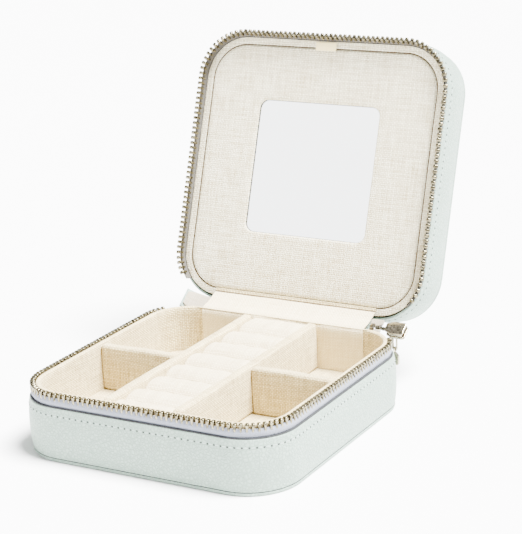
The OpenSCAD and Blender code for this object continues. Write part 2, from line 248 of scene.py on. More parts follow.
def soft_box(low, high, radius, cuts=10, steps=4, puff=0.0, seed=0):
    """A padded board: a box with rounded edges whose long faces swell a little."""
    low, high = np.array(low, float), np.array(high, float)
    size = high - low
    bm = bmesh.new()
    bmesh.ops.create_cube(bm, size=1)
    for v in bm.verts:
        v.co = Vector(low + (np.array(v.co) + 0.5) * size)
    bmesh.ops.bevel(bm, geom=bm.edges[:], offset=radius, segments=steps, profile=0.5, affect="EDGES")

    def cut(point, normal):
        whole = bm.verts[:] + bm.edges[:] + bm.faces[:]
        bmesh.ops.bisect_plane(bm, geom=whole, plane_co=Vector(point), plane_no=Vector(normal))

    long_axis = int(np.argmax(size))
    for k in range(1, cuts):
        cut(low + size * k / cuts, [float(i == long_axis) for i in range(3)])
    cut((0, 0, low[2] + size[2] * 0.55), (0, 0, 1))
    thin_axis = 0 if size[0] < size[1] else 1
    centre = (low + high) / 2
    verts = np.array([v.co for v in bm.verts])
    along = (verts[:, long_axis] - low[long_axis]) / size[long_axis]
    height = (verts[:, 2] - low[2]) / size[2]
    swell = puff * np.sin(np.pi * np.clip(height, 0, 1)) * (0.6 + 0.4 * np.sin(along * 9 + seed))
    verts[:, thin_axis] += np.sign(verts[:, thin_axis] - centre[thin_axis]) * swell
    verts[:, 2] += np.where(height > 0.8, 0.18 * np.sin(along * 7 + seed * 1.7), 0)
    faces = [[v.index for v in f.verts] for f in bm.faces]
    bm.free()
    return verts, faces


def joined(parts):
    """Joins several (verts, faces) into one."""
    verts, faces, base = [], [], 0
    for v, f in parts:
        verts.append(np.asarray(v, float))
        faces += [tuple(i + base for i in face) for face in f]
        base += len(v)
    return np.vstack(verts), faces


def moved(part, matrix):
    verts, faces = part
    m = np.array(matrix)
    return np.asarray(verts) @ m[:3, :3].T + m[:3, 3], faces


# ---------------------------------------------------------------- materials
class Nodes:
    """A short way to write a material's node tree."""

    def __init__(self, name):
        self.material = bpy.data.materials.new(name)
        self.material.use_nodes = True
        self.tree = self.material.node_tree
        self.bsdf = self.tree.nodes["Principled BSDF"]
        self.coords = self.tree.nodes.new("ShaderNodeTexCoord")

    def add(self, kind, settings=None, **inputs):
        node = self.tree.nodes.new(kind)
        for key, value in (settings or {}).items():
            setattr(node, key, value)
        for key, value in inputs.items():
            self.put(node.inputs[key.replace("_", " ")], value)
        return node

    def put(self, socket, value):
        if isinstance(value, bpy.types.NodeSocket):
            self.tree.links.new(value, socket)
        else:
            socket.default_value = value

    def math(self, operation, a, b=0.0):
        node = self.tree.nodes.new("ShaderNodeMath")
        node.operation = operation
        for socket, value in zip(node.inputs, (a, b)):
            self.put(socket, value)
        return node.outputs[0]

    def plus(self, a, b):
        return self.math("ADD", a, b)

    def times(self, a, b):
        return self.math("MULTIPLY", a, b)

    def millimetres(self):
        """A place on the piece, in millimetres along its own axes."""
        place = self.add("ShaderNodeVectorMath", {"operation": "SCALE"})
        self.put(place.inputs[0], self.coords.outputs["Object"])
        place.inputs["Scale"].default_value = 1 / MM
        return place.outputs[0]

    def mix(self, factor, a, b, blend="MIX"):
        node = self.tree.nodes.new("ShaderNodeMix")
        node.data_type = "RGBA"
        node.blend_type = blend
        self.put(node.inputs[0], factor)
        self.put(node.inputs[6], a)
        self.put(node.inputs[7], b)
        return node.outputs[2]

    def noise(self, vector, scale, detail=2.0, rough=0.5):
        node = self.add("ShaderNodeTexNoise", Scale=scale, Detail=detail, Roughness=rough)
        self.put(node.inputs["Vector"], vector)
        return node.outputs["Fac"]

    def ramp(self, value, low, high):
        node = self.tree.nodes.new("ShaderNodeMapRange")
        self.put(node.inputs["Value"], value)
        node.inputs["From Min"].default_value = low
        node.inputs["From Max"].default_value = high
        return node.outputs["Result"]

    def bump(self, height, strength, distance, normal=None):
        node = self.add("ShaderNodeBump", Strength=strength, Distance=distance)
        self.put(node.inputs["Height"], height)
        if normal is not None:
            self.put(node.inputs["Normal"], normal)
        return node.outputs["Normal"]

    def set(self, **inputs):
        for key, value in inputs.items():
            self.put(self.bsdf.inputs[key.replace("_", " ")], value)

    def plane_coordinates(self):
        """(u, v) in millimetres along a surface, whichever way it faces, from the piece's own axes."""
        place = self.add("ShaderNodeSeparateXYZ", Vector=self.coords.outputs["Object"])
        facing = self.add("ShaderNodeSeparateXYZ", Vector=self.coords.outputs["Normal"])
        x, y, z = (self.math("DIVIDE", place.outputs[i], MM) for i in range(3))
        nx, ny, nz = (self.math("ABSOLUTE", facing.outputs[i]) for i in range(3))
        up = self.math("GREATER_THAN", nz, self.math("MAXIMUM", nx, ny))
        across = self.math("GREATER_THAN", nx, ny)
        side_u = self.plus(self.times(across, y), self.times(self.math("SUBTRACT", 1.0, across), x))
        u = self.plus(self.times(up, x), self.times(self.math("SUBTRACT", 1.0, up), side_u))
        v = self.plus(self.times(up, y), self.times(self.math("SUBTRACT", 1.0, up), z))
        return u, v


def linear(r, g, b):
    """An sRGB colour, 0 to 255, as the linear one that the shader takes."""
    out = []
    for c in (r, g, b):
        c /= 255
        out.append(c / 12.92 if c <= 0.04045 else ((c + 0.055) / 1.055) ** 2.4)
    return (*out, 1.0)


def woven(name, light, dark, thread=0.52, slub=0.55, relief=0.16, roughness=0.9, sheen=0.1, pit=0.4):
    """Plain-woven cloth: threads that pass over and under, with thick and thin places, and painted shade
    darkening the hollows between the threads.
    """
    n = Nodes(name)
    u, v = n.plane_coordinates()
    plane = n.add("ShaderNodeCombineXYZ")
    n.put(plane.inputs[0], u)
    n.put(plane.inputs[1], v)
    plane = plane.outputs[0]
    wander = n.times(n.math("SUBTRACT", n.noise(plane, 0.7, 2), 0.5), 0.5)
    phase = math.pi / thread
    su = n.math("SINE", n.times(n.plus(u, wander), phase))
    sv = n.math("SINE", n.times(n.plus(v, wander), phase))
    over = n.times(su, sv)
    ridge_u = n.math("ABSOLUTE", su)
    ridge_v = n.math("ABSOLUTE", sv)
    height = n.plus(n.times(over, 0.35), n.times(n.times(ridge_u, ridge_v), 0.65))

    def streaks(fine, coarse):
        stretch = n.add("ShaderNodeVectorMath", {"operation": "MULTIPLY"})
        n.put(stretch.inputs[0], plane)
        stretch.inputs[1].default_value = (fine, coarse, 1)
        return n.noise(stretch.outputs[0], 1.0, 2.5, 0.6)

    across = streaks(1 / thread, 0.09)
    down = streaks(0.09, 1 / thread)
    threads = n.plus(n.times(across, 0.5), n.times(down, 0.5))
    blotch = n.noise(plane, 0.05, 2)
    tone = n.plus(n.ramp(threads, 0.34, 0.62), n.times(n.math("SUBTRACT", blotch, 0.5), 0.35))
    # Painted shade: the colour darkens where the weave's height is low, between the threads.
    pit_shade_mask = n.ramp(height, -0.05, 0.42)
    tone = n.times(n.plus(n.times(tone, slub), 1 - slub), n.plus(n.times(pit_shade_mask, pit), 1 - pit))
    clamped = n.add("ShaderNodeClamp")
    n.put(clamped.inputs[0], tone)
    n.set(Base_Color=n.mix(clamped.outputs[0], linear(*dark), linear(*light)), Roughness=roughness)
    relief_height = n.plus(height, n.times(threads, 0.8))
    n.set(Normal=n.bump(relief_height, 0.75, relief * MM))
    n.set(Sheen_Weight=sheen, Sheen_Roughness=0.5, Specular_IOR_Level=0.25)
    return n.material


def pebbled_leather(name, base, deep):
    """Pebble-grained leather: small domed cells with creases between them, paler on the cell tops and darker
    in the creases.
    """
    n = Nodes(name)
    place = n.millimetres()
    bend = n.add("ShaderNodeTexNoise", Scale=0.6, Detail=2.0)
    n.put(bend.inputs["Vector"], place)
    shift = n.add("ShaderNodeVectorMath", {"operation": "MULTIPLY_ADD"})
    n.put(shift.inputs[0], bend.outputs["Color"])
    shift.inputs[1].default_value = (0.9, 0.9, 0.9)
    n.put(shift.inputs[2], place)
    cells = n.add("ShaderNodeTexVoronoi", {"feature": "DISTANCE_TO_EDGE"}, Scale=0.72)
    n.put(cells.inputs["Vector"], shift.outputs[0])
    fine = n.add("ShaderNodeTexVoronoi", {"feature": "DISTANCE_TO_EDGE"}, Scale=1.5)
    n.put(fine.inputs["Vector"], shift.outputs[0])
    dome = n.math("POWER", n.ramp(cells.outputs["Distance"], 0.0, 0.34), 0.6)
    small = n.math("POWER", n.ramp(fine.outputs["Distance"], 0.0, 0.3), 0.7)
    broad = n.noise(place, 0.12, 2)
    height = n.plus(n.times(dome, 0.7), n.times(small, 0.3))
    height = n.times(height, n.plus(n.times(broad, 0.9), 0.5))
    pale = n.plus(n.times(dome, 0.6), n.times(n.ramp(broad, 0.2, 0.8), 0.25))
    n.set(Base_Color=n.mix(pale, linear(*deep), linear(*base)))
    n.set(Roughness=n.plus(n.times(n.noise(place, 0.5, 3), 0.16), 0.42))
    n.set(Normal=n.bump(height, 0.9, 0.34 * MM))
    n.set(Specular_IOR_Level=0.4, Coat_Weight=0.06, Coat_Roughness=0.35)
    return n.material


def worn_metal(name, bright, dull, roughness=0.3, tarnish=0.5):
    """Plated metal with tarnish in random spots and fine scratches."""
    n = Nodes(name)
    place = n.millimetres()
    spots = n.ramp(n.noise(place, 0.8, 3), 0.38, 0.66)
    scratch = n.noise(place, 6.0, 4, 0.7)
    n.set(Base_Color=n.mix(n.times(spots, tarnish), linear(*bright), linear(*dull)))
    n.set(Roughness=n.plus(n.times(scratch, 0.2), roughness - 0.08))
    n.set(Normal=n.bump(scratch, 0.15, 0.05 * MM))
    n.set(Metallic=1.0)
    return n.material


def plain_board(name, light, dark):
    """Greyboard or foam: fibres and specks. The flat dark painted shade pieces use it too."""
    n = Nodes(name)
    place = n.coords.outputs["Object"]
    fibres = n.noise(place, 900, 4, 0.6)
    n.set(Base_Color=n.mix(n.ramp(fibres, 0.35, 0.65), linear(*dark), linear(*light)), Roughness=0.92)
    n.set(Normal=n.bump(fibres, 0.3, 0.1 * MM))
    return n.material


def silvered_glass(name):
    """A mirror: silver seen through glass, with a trace of haze."""
    n = Nodes(name)
    haze = n.noise(n.coords.outputs["Object"], 60, 3)
    n.set(Base_Color=linear(238, 240, 241), Metallic=1.0)
    n.set(Roughness=n.plus(n.times(haze, 0.05), 0.02))
    return n.material


LINEN = woven("linen", (250, 234, 180), (108, 74, 26), thread=0.78, slub=0.6, relief=0.4, pit=0.6)
LINEN_LIP = woven("linen_lip", (248, 238, 204), (176, 150, 98), thread=0.7, slub=0.6, relief=0.34, pit=0.6)
LINEN_PANEL = woven("linen_panel", (255, 251, 226), (164, 144, 98), thread=0.86, slub=0.75, relief=0.5,
                    pit=0.6)
LINEN_BAND = woven("linen_band", (246, 234, 198), (196, 172, 118), thread=0.7, relief=0.26, pit=0.5)
ZIP_TAPE = woven("zip_tape", (134, 138, 150), (92, 96, 108), thread=0.5, slub=0.4, relief=0.14)
GREY_TAPE = woven("grey_tape", (178, 168, 148), (112, 98, 74), thread=0.55, slub=0.4, relief=0.14)
# A darker copy of the zip tape: painted shade for the lid tape's inner face.
SHADED_TAPE = woven("zip_tape_painted_shade", (92, 88, 80), (52, 48, 42), thread=0.5, slub=0.4, relief=0.14)
RIBBON = woven("ribbon", (246, 230, 172), (224, 200, 130), thread=0.45, slub=0.4, relief=0.08, sheen=0.3)
THREAD = woven("thread", (170, 186, 178), (150, 164, 158), thread=0.3, relief=0.05)
LEATHER = pebbled_leather("leather", (153, 173, 160), (114, 134, 122))
TEETH = worn_metal("teeth_metal", (138, 130, 104), (40, 36, 24), 0.24, 0.9)
SLIDER = worn_metal("slider_metal", (186, 176, 152), (70, 62, 46), 0.18, 0.7)
BOARD = plain_board("greyboard", (178, 168, 148), (140, 130, 112))
FOAM = plain_board("foam", (236, 232, 220), (214, 208, 194))
MIRROR = silvered_glass("mirror_silver")
# Painted shade inside the stitch holes.
HOLE_SHADE = plain_board("stitch_hole_shade", (52, 56, 54), (34, 38, 36))
# Flat brown painted shade, for the groove round the lid's panel and the crease below the band's roll.
SEAM_SHADE = plain_board("seam_shade", (92, 70, 42), (64, 48, 28))
# Flat near-black painted shade, for the dark lines at the leather's edges and seams, inside the lid's teeth
# and round the mirror glass.
SHADE_PAINT = plain_board("painted_shade_dark", (40, 42, 44), (24, 26, 28))


# ---------------------------------------------------------------- camera, light and stage
CAMERA_AZIMUTH, CAMERA_ELEVATION, CAMERA_ROLL = 30.262, 17.098, -2.7
CAMERA_DISTANCE = 749.76
CAMERA_LENS = 124.837
TARGET_HEIGHT = 36
TARGET_RIGHT, TARGET_UP = 20.737, 29.28


def look():
    """The camera: its target, direction and distance fitted to the view."""
    azimuth, elevation, roll = (math.radians(a) for a in (CAMERA_AZIMUTH, CAMERA_ELEVATION, CAMERA_ROLL))
    right = Vector((math.cos(azimuth), math.sin(azimuth), 0))
    back = Vector((math.sin(azimuth) * math.cos(elevation), -math.cos(azimuth) * math.cos(elevation),
                   math.sin(elevation)))
    up = back.cross(right)
    target = (Vector((0, 0, TARGET_HEIGHT)) + right * TARGET_RIGHT + up * TARGET_UP) * MM
    place = target + back * CAMERA_DISTANCE * MM
    across = right * math.cos(roll) + up * math.sin(roll)
    above = up * math.cos(roll) - right * math.sin(roll)
    data = bpy.data.cameras.new("camera")
    data.lens = CAMERA_LENS
    data.sensor_width = 36
    data.clip_start = 0.01
    camera = bpy.data.objects.new("camera", data)
    bpy.context.scene.collection.objects.link(camera)
    turn = Matrix((across, above, back)).transposed().to_4x4()
    camera.matrix_world = Matrix.Translation(place) @ turn
    bpy.context.scene.camera = camera


def area_light(name, place, target, size, power):
    data = bpy.data.lights.new(name, "AREA")
    data.shape = "DISK"
    data.size = size
    data.energy = power
    light = bpy.data.objects.new(name, data)
    bpy.context.scene.collection.objects.link(light)
    light.location = Vector(place)
    light.rotation_euler = (Vector(target) - Vector(place)).to_track_quat("-Z", "Y").to_euler()


def sky_light(name, direction, strength, spread):
    """One large, soft, distant light that falls the same way everywhere."""
    data = bpy.data.lights.new(name, "SUN")
    data.energy = strength
    data.angle = math.radians(spread)
    light = bpy.data.objects.new(name, data)
    light.rotation_euler = Vector(direction).to_track_quat("Z", "Y").to_euler()
    bpy.context.scene.collection.objects.link(light)


def studio():
    world = bpy.data.worlds.new("studio")
    bpy.context.scene.world = world
    world.use_nodes = True
    shade = world.node_tree.nodes["Background"]
    shade.inputs["Color"].default_value = (1.0, 1.0, 1.0, 1)
    shade.inputs["Strength"].default_value = 0.75
    sky_light("key", (0.40, 0.1, 0.91), 41, 26)
    mirror_side = Vector((-0.478, -0.82, 0.304)).normalized() * 2.0 + Vector((0, 0.1, 0.1))
    area_light("card", mirror_side, (0, 0.1, 0.1), 1.3, 22)
    n = Nodes("stage_white")
    mottle = n.noise(n.coords.outputs["Object"], 3, 2)
    n.set(Base_Color=n.mix(mottle, linear(250, 250, 250), linear(252, 252, 252)), Roughness=0.7)
    mesh = bpy.data.meshes.new("floor")
    reach = 6.0
    corners = [(-reach, -reach, 0), (reach, -reach, 0), (reach, reach, 0), (-reach, reach, 0)]
    mesh.from_pydata(corners, [], [(0, 1, 2, 3)])
    mesh.materials.append(n.material)
    floor = bpy.data.objects.new("floor", mesh)
    bpy.context.scene.collection.objects.link(floor)


look()
studio()


# ---------------------------------------------------------------- leather shells
SPINE_ANGLE = 44
WALL_EDGE = 0.5
WALL_BULGE = 0.8
WALL_SET = 0.3


def wall_inset(z, z0, z1):
    """How far inside the outline the swollen leather wall stands at height z."""
    t = (z1 - WALL_EDGE - z) / (z1 - z0 - 2 * WALL_EDGE)
    return WALL_SET - WALL_BULGE * math.sin(math.pi * min(max(t, 0), 1)) ** 0.8


def bulged_wall(z0, z1):
    """The profile of a leather side wall: rounded edges, a swollen outer face."""
    e = WALL_EDGE
    arc_top = [(WALL_SET + e * (1 - math.sin(a)), z1 - e + e * math.cos(a))
               for a in np.linspace(0.1, math.pi / 2, 6)]
    arc_low = [(WALL_SET + e * (1 - math.cos(a)), z0 + e - e * math.sin(a))
               for a in np.linspace(0, math.pi / 2 - 0.1, 6)]
    face = [(wall_inset(z, z0, z1), z) for z in np.linspace(z1 - e, z0 + e, 13)]
    return [(LEATHER_T, z0), (LEATHER_T, z1)] + arc_top[:-1] + face + arc_low[1:]


def bead(name, inset, z, width, height, material, slot, body, place=None, rear=True):
    """A thin rounded line that runs all the way round, or stops either side of the spine."""
    ring = [(inset + width / 2 * math.cos(a), z + height / 2 * math.sin(a)) for a in ring_angles(8)]
    mesh = sweep(ring) if rear else sweep(ring, zip_stations(SPINE_ANGLE), closed=False)
    make_piece(name, *mesh, material, body, slot, place)


def leather_wall(name, node, z0, z1, body, place=None):
    verts, faces = sweep(bulged_wall(z0, z1))
    piece = make_piece(name, verts, faces, LEATHER, body, "leather", place)
    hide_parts(node)


def panel_plate(name, node, z_outer, z_inner, body, place=None):
    """The leather-covered end panel, from its inner face out to its outer face with a rounded edge."""
    direction = 1 if z_outer > z_inner else -1
    t = abs(z_outer - z_inner)
    profile = [(1.4, z_inner), (0.5, z_inner)]
    profile += [(0.25 + 0.9 * (1 - math.cos(a)), z_inner + direction * (t * 0.35 + t * 0.65 * math.sin(a)))
                for a in np.linspace(0, math.pi / 2, 7)]
    verts, faces = plate(profile, rings=8)
    piece = make_piece(name, verts, faces, LEATHER, body, "leather", place)
    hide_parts(node)


base_seam = PANEL_TOP + 0.1
lid_seam = shut_box("lid_leather_wall", OPEN_LID)[1][2]
leather_wall("base_leather", "base_leather_wall", base_seam, BASE_TOP, "base")
panel_plate("base_underside", "base_bottom_panel", 0.0, PANEL_TOP, "base")
leather_wall("lid_leather", "lid_leather_wall", LID_RIM, lid_seam, "lid", OPEN_LID)
panel_plate("lid_cover", "lid_top_panel", LID_TOP, lid_seam + 0.1, "lid", OPEN_LID)
# Painted shade: near-black beads along the leather's edge where the tape leaves it, on the base and the lid.
bead("base_edge_painted_shade", 1.05, BASE_TOP + 0.1, 0.8, 0.95, SHADE_PAINT, "leather", "base", rear=False)
bead("lid_edge_painted_shade", 1.15, LID_RIM - 0.02, 0.55, 0.6, SHADE_PAINT, "leather", "lid", OPEN_LID, rear=False)
# Painted shade: near-black beads in the groove where each wall meets its end panel.
bead("base_seam_painted_shade", 0.62, PANEL_TOP + 0.05, 0.5, 0.5, SHADE_PAINT, "leather", "base")
bead("lid_seam_painted_shade", 0.72, lid_seam + 0.05, 0.5, 0.42, SHADE_PAINT, "leather", "lid", OPEN_LID)


# ---------------------------------------------------------------- stitching
def outline_place(s, inset):
    """Where arc length s comes on the outline, clockwise from the rear right corner, +X outwards."""
    r = CORNER_R - inset
    arc = r * math.pi / 2
    quarter = arc + 2 * CORE
    k, t = divmod(s, quarter)
    turn = min(t, arc) / r
    a = math.pi / 2 - turn - k * math.pi / 2
    spin = Matrix.Rotation(-k * math.pi / 2, 4, "Z")
    centre = spin @ Vector((CORE, CORE - max(t - arc, 0), 0))
    out = Vector((math.cos(a), math.sin(a), 0))
    return Matrix.Translation(centre + out * r) @ Matrix.Rotation(a, 4, "Z")


def capsule(length, width, height, rings=8, sides=8):
    """A stitch: a rounded bar along Y that dives at both ends."""
    verts = []
    for i in range(rings + 1):
        t = i / rings
        y = (t - 0.5) * length
        swell = math.sin(math.pi * min(max(t, 0.04), 0.96)) ** 0.45
        for j in range(sides):
            a = 2 * math.pi * j / sides
            out = swell * height * math.cos(a) - (1 - swell) * height * 0.8
            verts.append((out, y, swell * width / 2 * math.sin(a)))
    return np.array(verts), quads(rings + 1, sides) + end_caps(rings + 1, sides)


STITCH_PITCH = 2.84


def stitching(name, node, z, surface, body, place=None):
    """A row of stitches round the wall, each diving into a hole at its ends; the holes' dark colour is
    painted shade.
    """
    run = 4 * (CORNER_R * math.pi / 2 + 2 * CORE)
    count = round(run / STITCH_PITCH)
    stitch = capsule(1.9, 0.5, 0.17)
    hole = capsule(0.95, 0.8, 0.2, rings=6)
    threads, shaded_holes = [], []
    for i in range(count):
        at = outline_place((i + 0.5) * run / count, surface + 0.03) @ Matrix.Translation((0, 0, z))
        threads.append(moved(stitch, at))
        between = outline_place(i * run / count, surface) @ Matrix.Translation((0, 0, z))
        shaded_holes.append(moved(hole, between))
    piece = make_piece(name, *joined(threads), THREAD, body, "thread", place)
    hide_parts(node)
    make_piece(name + "_holes", *joined(shaded_holes), HOLE_SHADE, body, "thread", place)


def middle_height(low_high):
    return (low_high[0][2] + low_high[1][2]) / 2


stitch_z = middle_height(node_box("base_stitching"))
stitching("base_stitches", "base_stitching", stitch_z, wall_inset(stitch_z, base_seam, BASE_TOP), "base")
lid_stitch_z = middle_height(shut_box("lid_stitching", OPEN_LID))
lid_stitch_inset = wall_inset(lid_stitch_z, LID_RIM, lid_seam)
stitching("lid_stitches", "lid_stitching", lid_stitch_z, lid_stitch_inset, "lid", OPEN_LID)


# ---------------------------------------------------------------- zip
TAPE_MID = 1.55
TAPE_T = 0.5
FLARE_Z = LID_RIM - 0.15
tape_top = node_box("base_zip_tape")[1][2]
LID_TAPE_FREE = LID_RIM - (2 * MID_Z - tape_top)


def strip_profile(line, thick):
    """A closed profile of even thickness along an (inset, z) line."""
    line = np.array(line, float)
    along = np.gradient(line, axis=0)
    along /= np.linalg.norm(along, axis=1)[:, None]
    across = np.stack([-along[:, 1], along[:, 0]], 1) * thick / 2
    return list(line + across) + list((line - across)[::-1])


def curved(points, steps=14):
    """A smooth line through a few points."""
    points = np.array(points, float)
    at = np.linspace(0, len(points) - 1, steps)
    return np.stack([smooth_interp(at, points[:, i]) for i in range(2)], 1)


def smooth_interp(at, values):
    """Catmull-Rom interpolation."""
    padded = np.concatenate([[2 * values[0] - values[1]], values, [2 * values[-1] - values[-2]]])
    k = np.clip(at.astype(int), 0, len(values) - 2)
    t = at - k
    a, b, c, d = (padded[k + i] for i in range(4))
    return b + 0.5 * t * (c - a + t * (2 * a - 5 * b + 4 * c - d + t * (3 * (b - c) + d - a)))


def tape(name, node, line, material, body, place=None, warp=None):
    profile = strip_profile(curved(line), TAPE_T)
    verts, faces = sweep(profile, zip_stations(SPINE_ANGLE), closed=False, warp=warp)
    piece = make_piece(name, verts, faces, material, body, "tape", place)
    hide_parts(node)


def lean_angle(side):
    """The free tape leans outwards, more on the right where the parked slider pulls it."""
    return np.radians(17 + 9 * side)


def lean_out(verts):
    """Leans everything below the lid leather's edge outwards about the tape's foot."""
    off = verts[:, :2] - np.clip(verts[:, :2], -CORE, CORE)
    reach = np.linalg.norm(off, axis=1)
    out = off / reach[:, None]
    below = np.maximum(FLARE_Z - verts[:, 2], 0)
    angle = np.where(below > 0, lean_angle(out[:, 0]), 0)
    beyond = reach - (CORNER_R - TAPE_MID)
    new_reach = CORNER_R - TAPE_MID + below * np.sin(angle) + beyond * np.cos(angle)
    leaning = verts.copy()
    leaning[:, :2] += out * (new_reach - reach)[:, None]
    leaning[:, 2] = np.where(below > 0, FLARE_Z - below * np.cos(angle) + beyond * np.sin(angle), verts[:, 2])
    return leaning


base_tape_line = [(1.9, BASE_TOP - 4), (1.95, BASE_TOP - 1), (1.8, BASE_TOP + 0.5), (1.25, BASE_TOP + 1.7),
                  (1.2, BASE_TOP + 2.7), (1.7, tape_top + 0.3)]
lid_tape_line = [(1.6, LID_RIM + 4), (1.6, LID_RIM + 0.6), (1.5, FLARE_Z - 0.4), (1.4, FLARE_Z - 1.8),
                 (1.45, FLARE_Z - 2.8), (1.55, FLARE_Z - LID_TAPE_FREE - 0.2)]
tape("base_tape", "base_zip_tape", base_tape_line, ZIP_TAPE, "base")
# The lid's tape takes the darker tape colour: painted shade on its inner face.
tape("lid_tape", "lid_zip_tape", lid_tape_line, SHADED_TAPE, "lid", OPEN_LID, lean_out)


def zip_tooth():
    """One metal tooth: two legs that clamp the tape's cord, a neck, and a rounded head with a nib."""
    sections = [  # height, half width along the tape, half thickness
        (-1.0, 0.34, 0.70), (-0.75, 0.42, 0.98), (-0.2, 0.46, 1.06), (0.5, 0.46, 1.06), (0.95, 0.42, 1.0),
        (1.25, 0.60, 1.04), (1.6, 0.74, 1.12), (2.0, 0.76, 1.12), (2.3, 0.66, 0.98), (2.48, 0.40, 0.6)]
    sides = 12
    verts = []
    for z, a, b in sections:
        for j in range(sides):
            t = 2 * math.pi * (j + 0.5) / sides
            c, s = math.cos(t), math.sin(t)
            verts.append((b * np.sign(c) * abs(c) ** 0.45, a * np.sign(s) * abs(s) ** 0.45, z))
    return np.array(verts), quads(len(sections), sides) + end_caps(len(sections), sides)


TEETH_IN = 1.9
TEETH_END_ANGLE = 35
TEETH_PITCH = 2.24


def teeth(name, node, shift, footing, body, place=None):
    """A row of teeth round the tape; footing gives a tooth's place for each outward X."""
    r = CORNER_R - TEETH_IN
    quarter = r * math.pi / 2 + 2 * CORE
    first = r * math.radians(90 - TEETH_END_ANGLE)
    run = 4 * quarter - 2 * CORE - 2 * first
    count = int(run / TEETH_PITCH)
    tooth = zip_tooth()
    row = []
    for i in range(count):
        at = outline_place(first + (i + shift) * run / count, TEETH_IN)
        lean_x = Matrix.Rotation(rng.uniform(-0.04, 0.04), 4, "X")
        lean_y = Matrix.Rotation(rng.uniform(-0.04, 0.04), 4, "Y")
        row.append(moved(tooth, at @ footing(at[0][0]) @ lean_x @ lean_y))
    piece = make_piece(name, *joined(row), TEETH, body, "teeth_metal", place, angle=50)
    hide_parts(node)


def base_footing(side):
    """The base's teeth stand upright all the way round, whatever their side."""
    return Matrix.Translation((0, 0, tape_top + 0.05))


def lid_footing(side):
    """The lid's teeth hang from the leaning tape."""
    inward = TEETH_IN - TAPE_MID
    lean = Matrix.Rotation(math.pi - float(lean_angle(side)), 4, "Y")
    return (Matrix.Translation((inward, 0, FLARE_Z)) @ lean
            @ Matrix.Translation((inward, 0, LID_TAPE_FREE + 0.05)))


teeth("base_teeth", "base_zip_teeth", 0.25, base_footing, "base")
teeth("lid_teeth", "lid_zip_teeth", 0.75, lid_footing, "lid", OPEN_LID)
# Painted shade: a dark bead at the foot of the lid's tape, just inside its teeth.
bead("lid_tape_painted_shade", 2.05, LID_RIM - 0.3, 0.5, 0.7, SHADE_PAINT, "tape", "lid", OPEN_LID, rear=False)


# ---------------------------------------------------------------- base lining and floor
CAVITY_IN = 5.4
REAR_SHIFT = 1.2
LIP_TOP = node_box("base_lining_wall")[1][2]
FLOOR_Z = node_box("base_floor_lining")[1][2]


def rear_stretch(verts):
    """The cavity reaches further back than the outline's inset: inner points of the rear half move back."""
    out = verts.copy()
    inner = np.maximum(np.abs(verts[:, 0]), np.abs(verts[:, 1])) < HALF - 4.2
    rear = np.clip((verts[:, 1] + CORE) / (2 * CORE), 0, 1)
    out[:, 1] += np.where(inner, REAR_SHIFT * rear, 0)
    return out


def base_lining():
    z0 = FLOOR_Z - 0.3
    lip = LIP_TOP
    profile = rounded_loop(
        [(CAVITY_IN + 0.15, z0), (CAVITY_IN, lip - 2.2), (CAVITY_IN - 0.25, lip), (3.15, lip),
         (3.15, lip - 1.9), (3.7, lip - 2.1), (3.7, z0)], [0, 0.6, 1.1, 1.05, 0.3, 0.2, 0], 8)
    verts, faces = sweep(profile, warp=rear_stretch)
    piece = make_piece("base_lining", verts, faces, LINEN, "base", "linen")
    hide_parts("base_lining_wall")


def floor_swell(verts):
    """The floor pad domes a little in each of its four compartments."""
    out = verts.copy()
    u = np.abs(verts[:, 0])
    v = np.abs(verts[:, 1])
    cu = (u - 36) / 18
    cv = (v - 28) / 26
    dome = np.clip(1 - cu ** 4, 0, 1) * np.clip(1 - cv ** 4, 0, 1)
    top = verts[:, 2] > FLOOR_Z - 0.2
    out[:, 2] += np.where(top, 0.45 * dome - 0.15, 0)
    return out


def floor_pad():
    profile = [(4.4, FLOOR_Z - 0.6), (3.75, FLOOR_Z - 0.5), (3.7, FLOOR_Z - 0.2), (4.2, FLOOR_Z)]
    verts, faces = plate(profile, rings=26, warp=floor_swell)
    piece = make_piece("floor_linen", verts, faces, LINEN, "base", "linen")
    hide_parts("base_floor_lining")


base_lining()
floor_pad()


# ---------------------------------------------------------------- dividers and ring rolls
def divider(name, node, seed):
    low, high = node_box(node)
    part = soft_box(low, high, 1.25, puff=0.22, seed=seed)
    piece = make_piece(name, *part, LINEN, "base", "linen")
    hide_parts(node)


DIVIDERS = ("ring_divider_left", "ring_divider_right", "cross_divider_left", "cross_divider_right")
for index, node in enumerate(DIVIDERS):
    divider(node + "_pad", node, index)


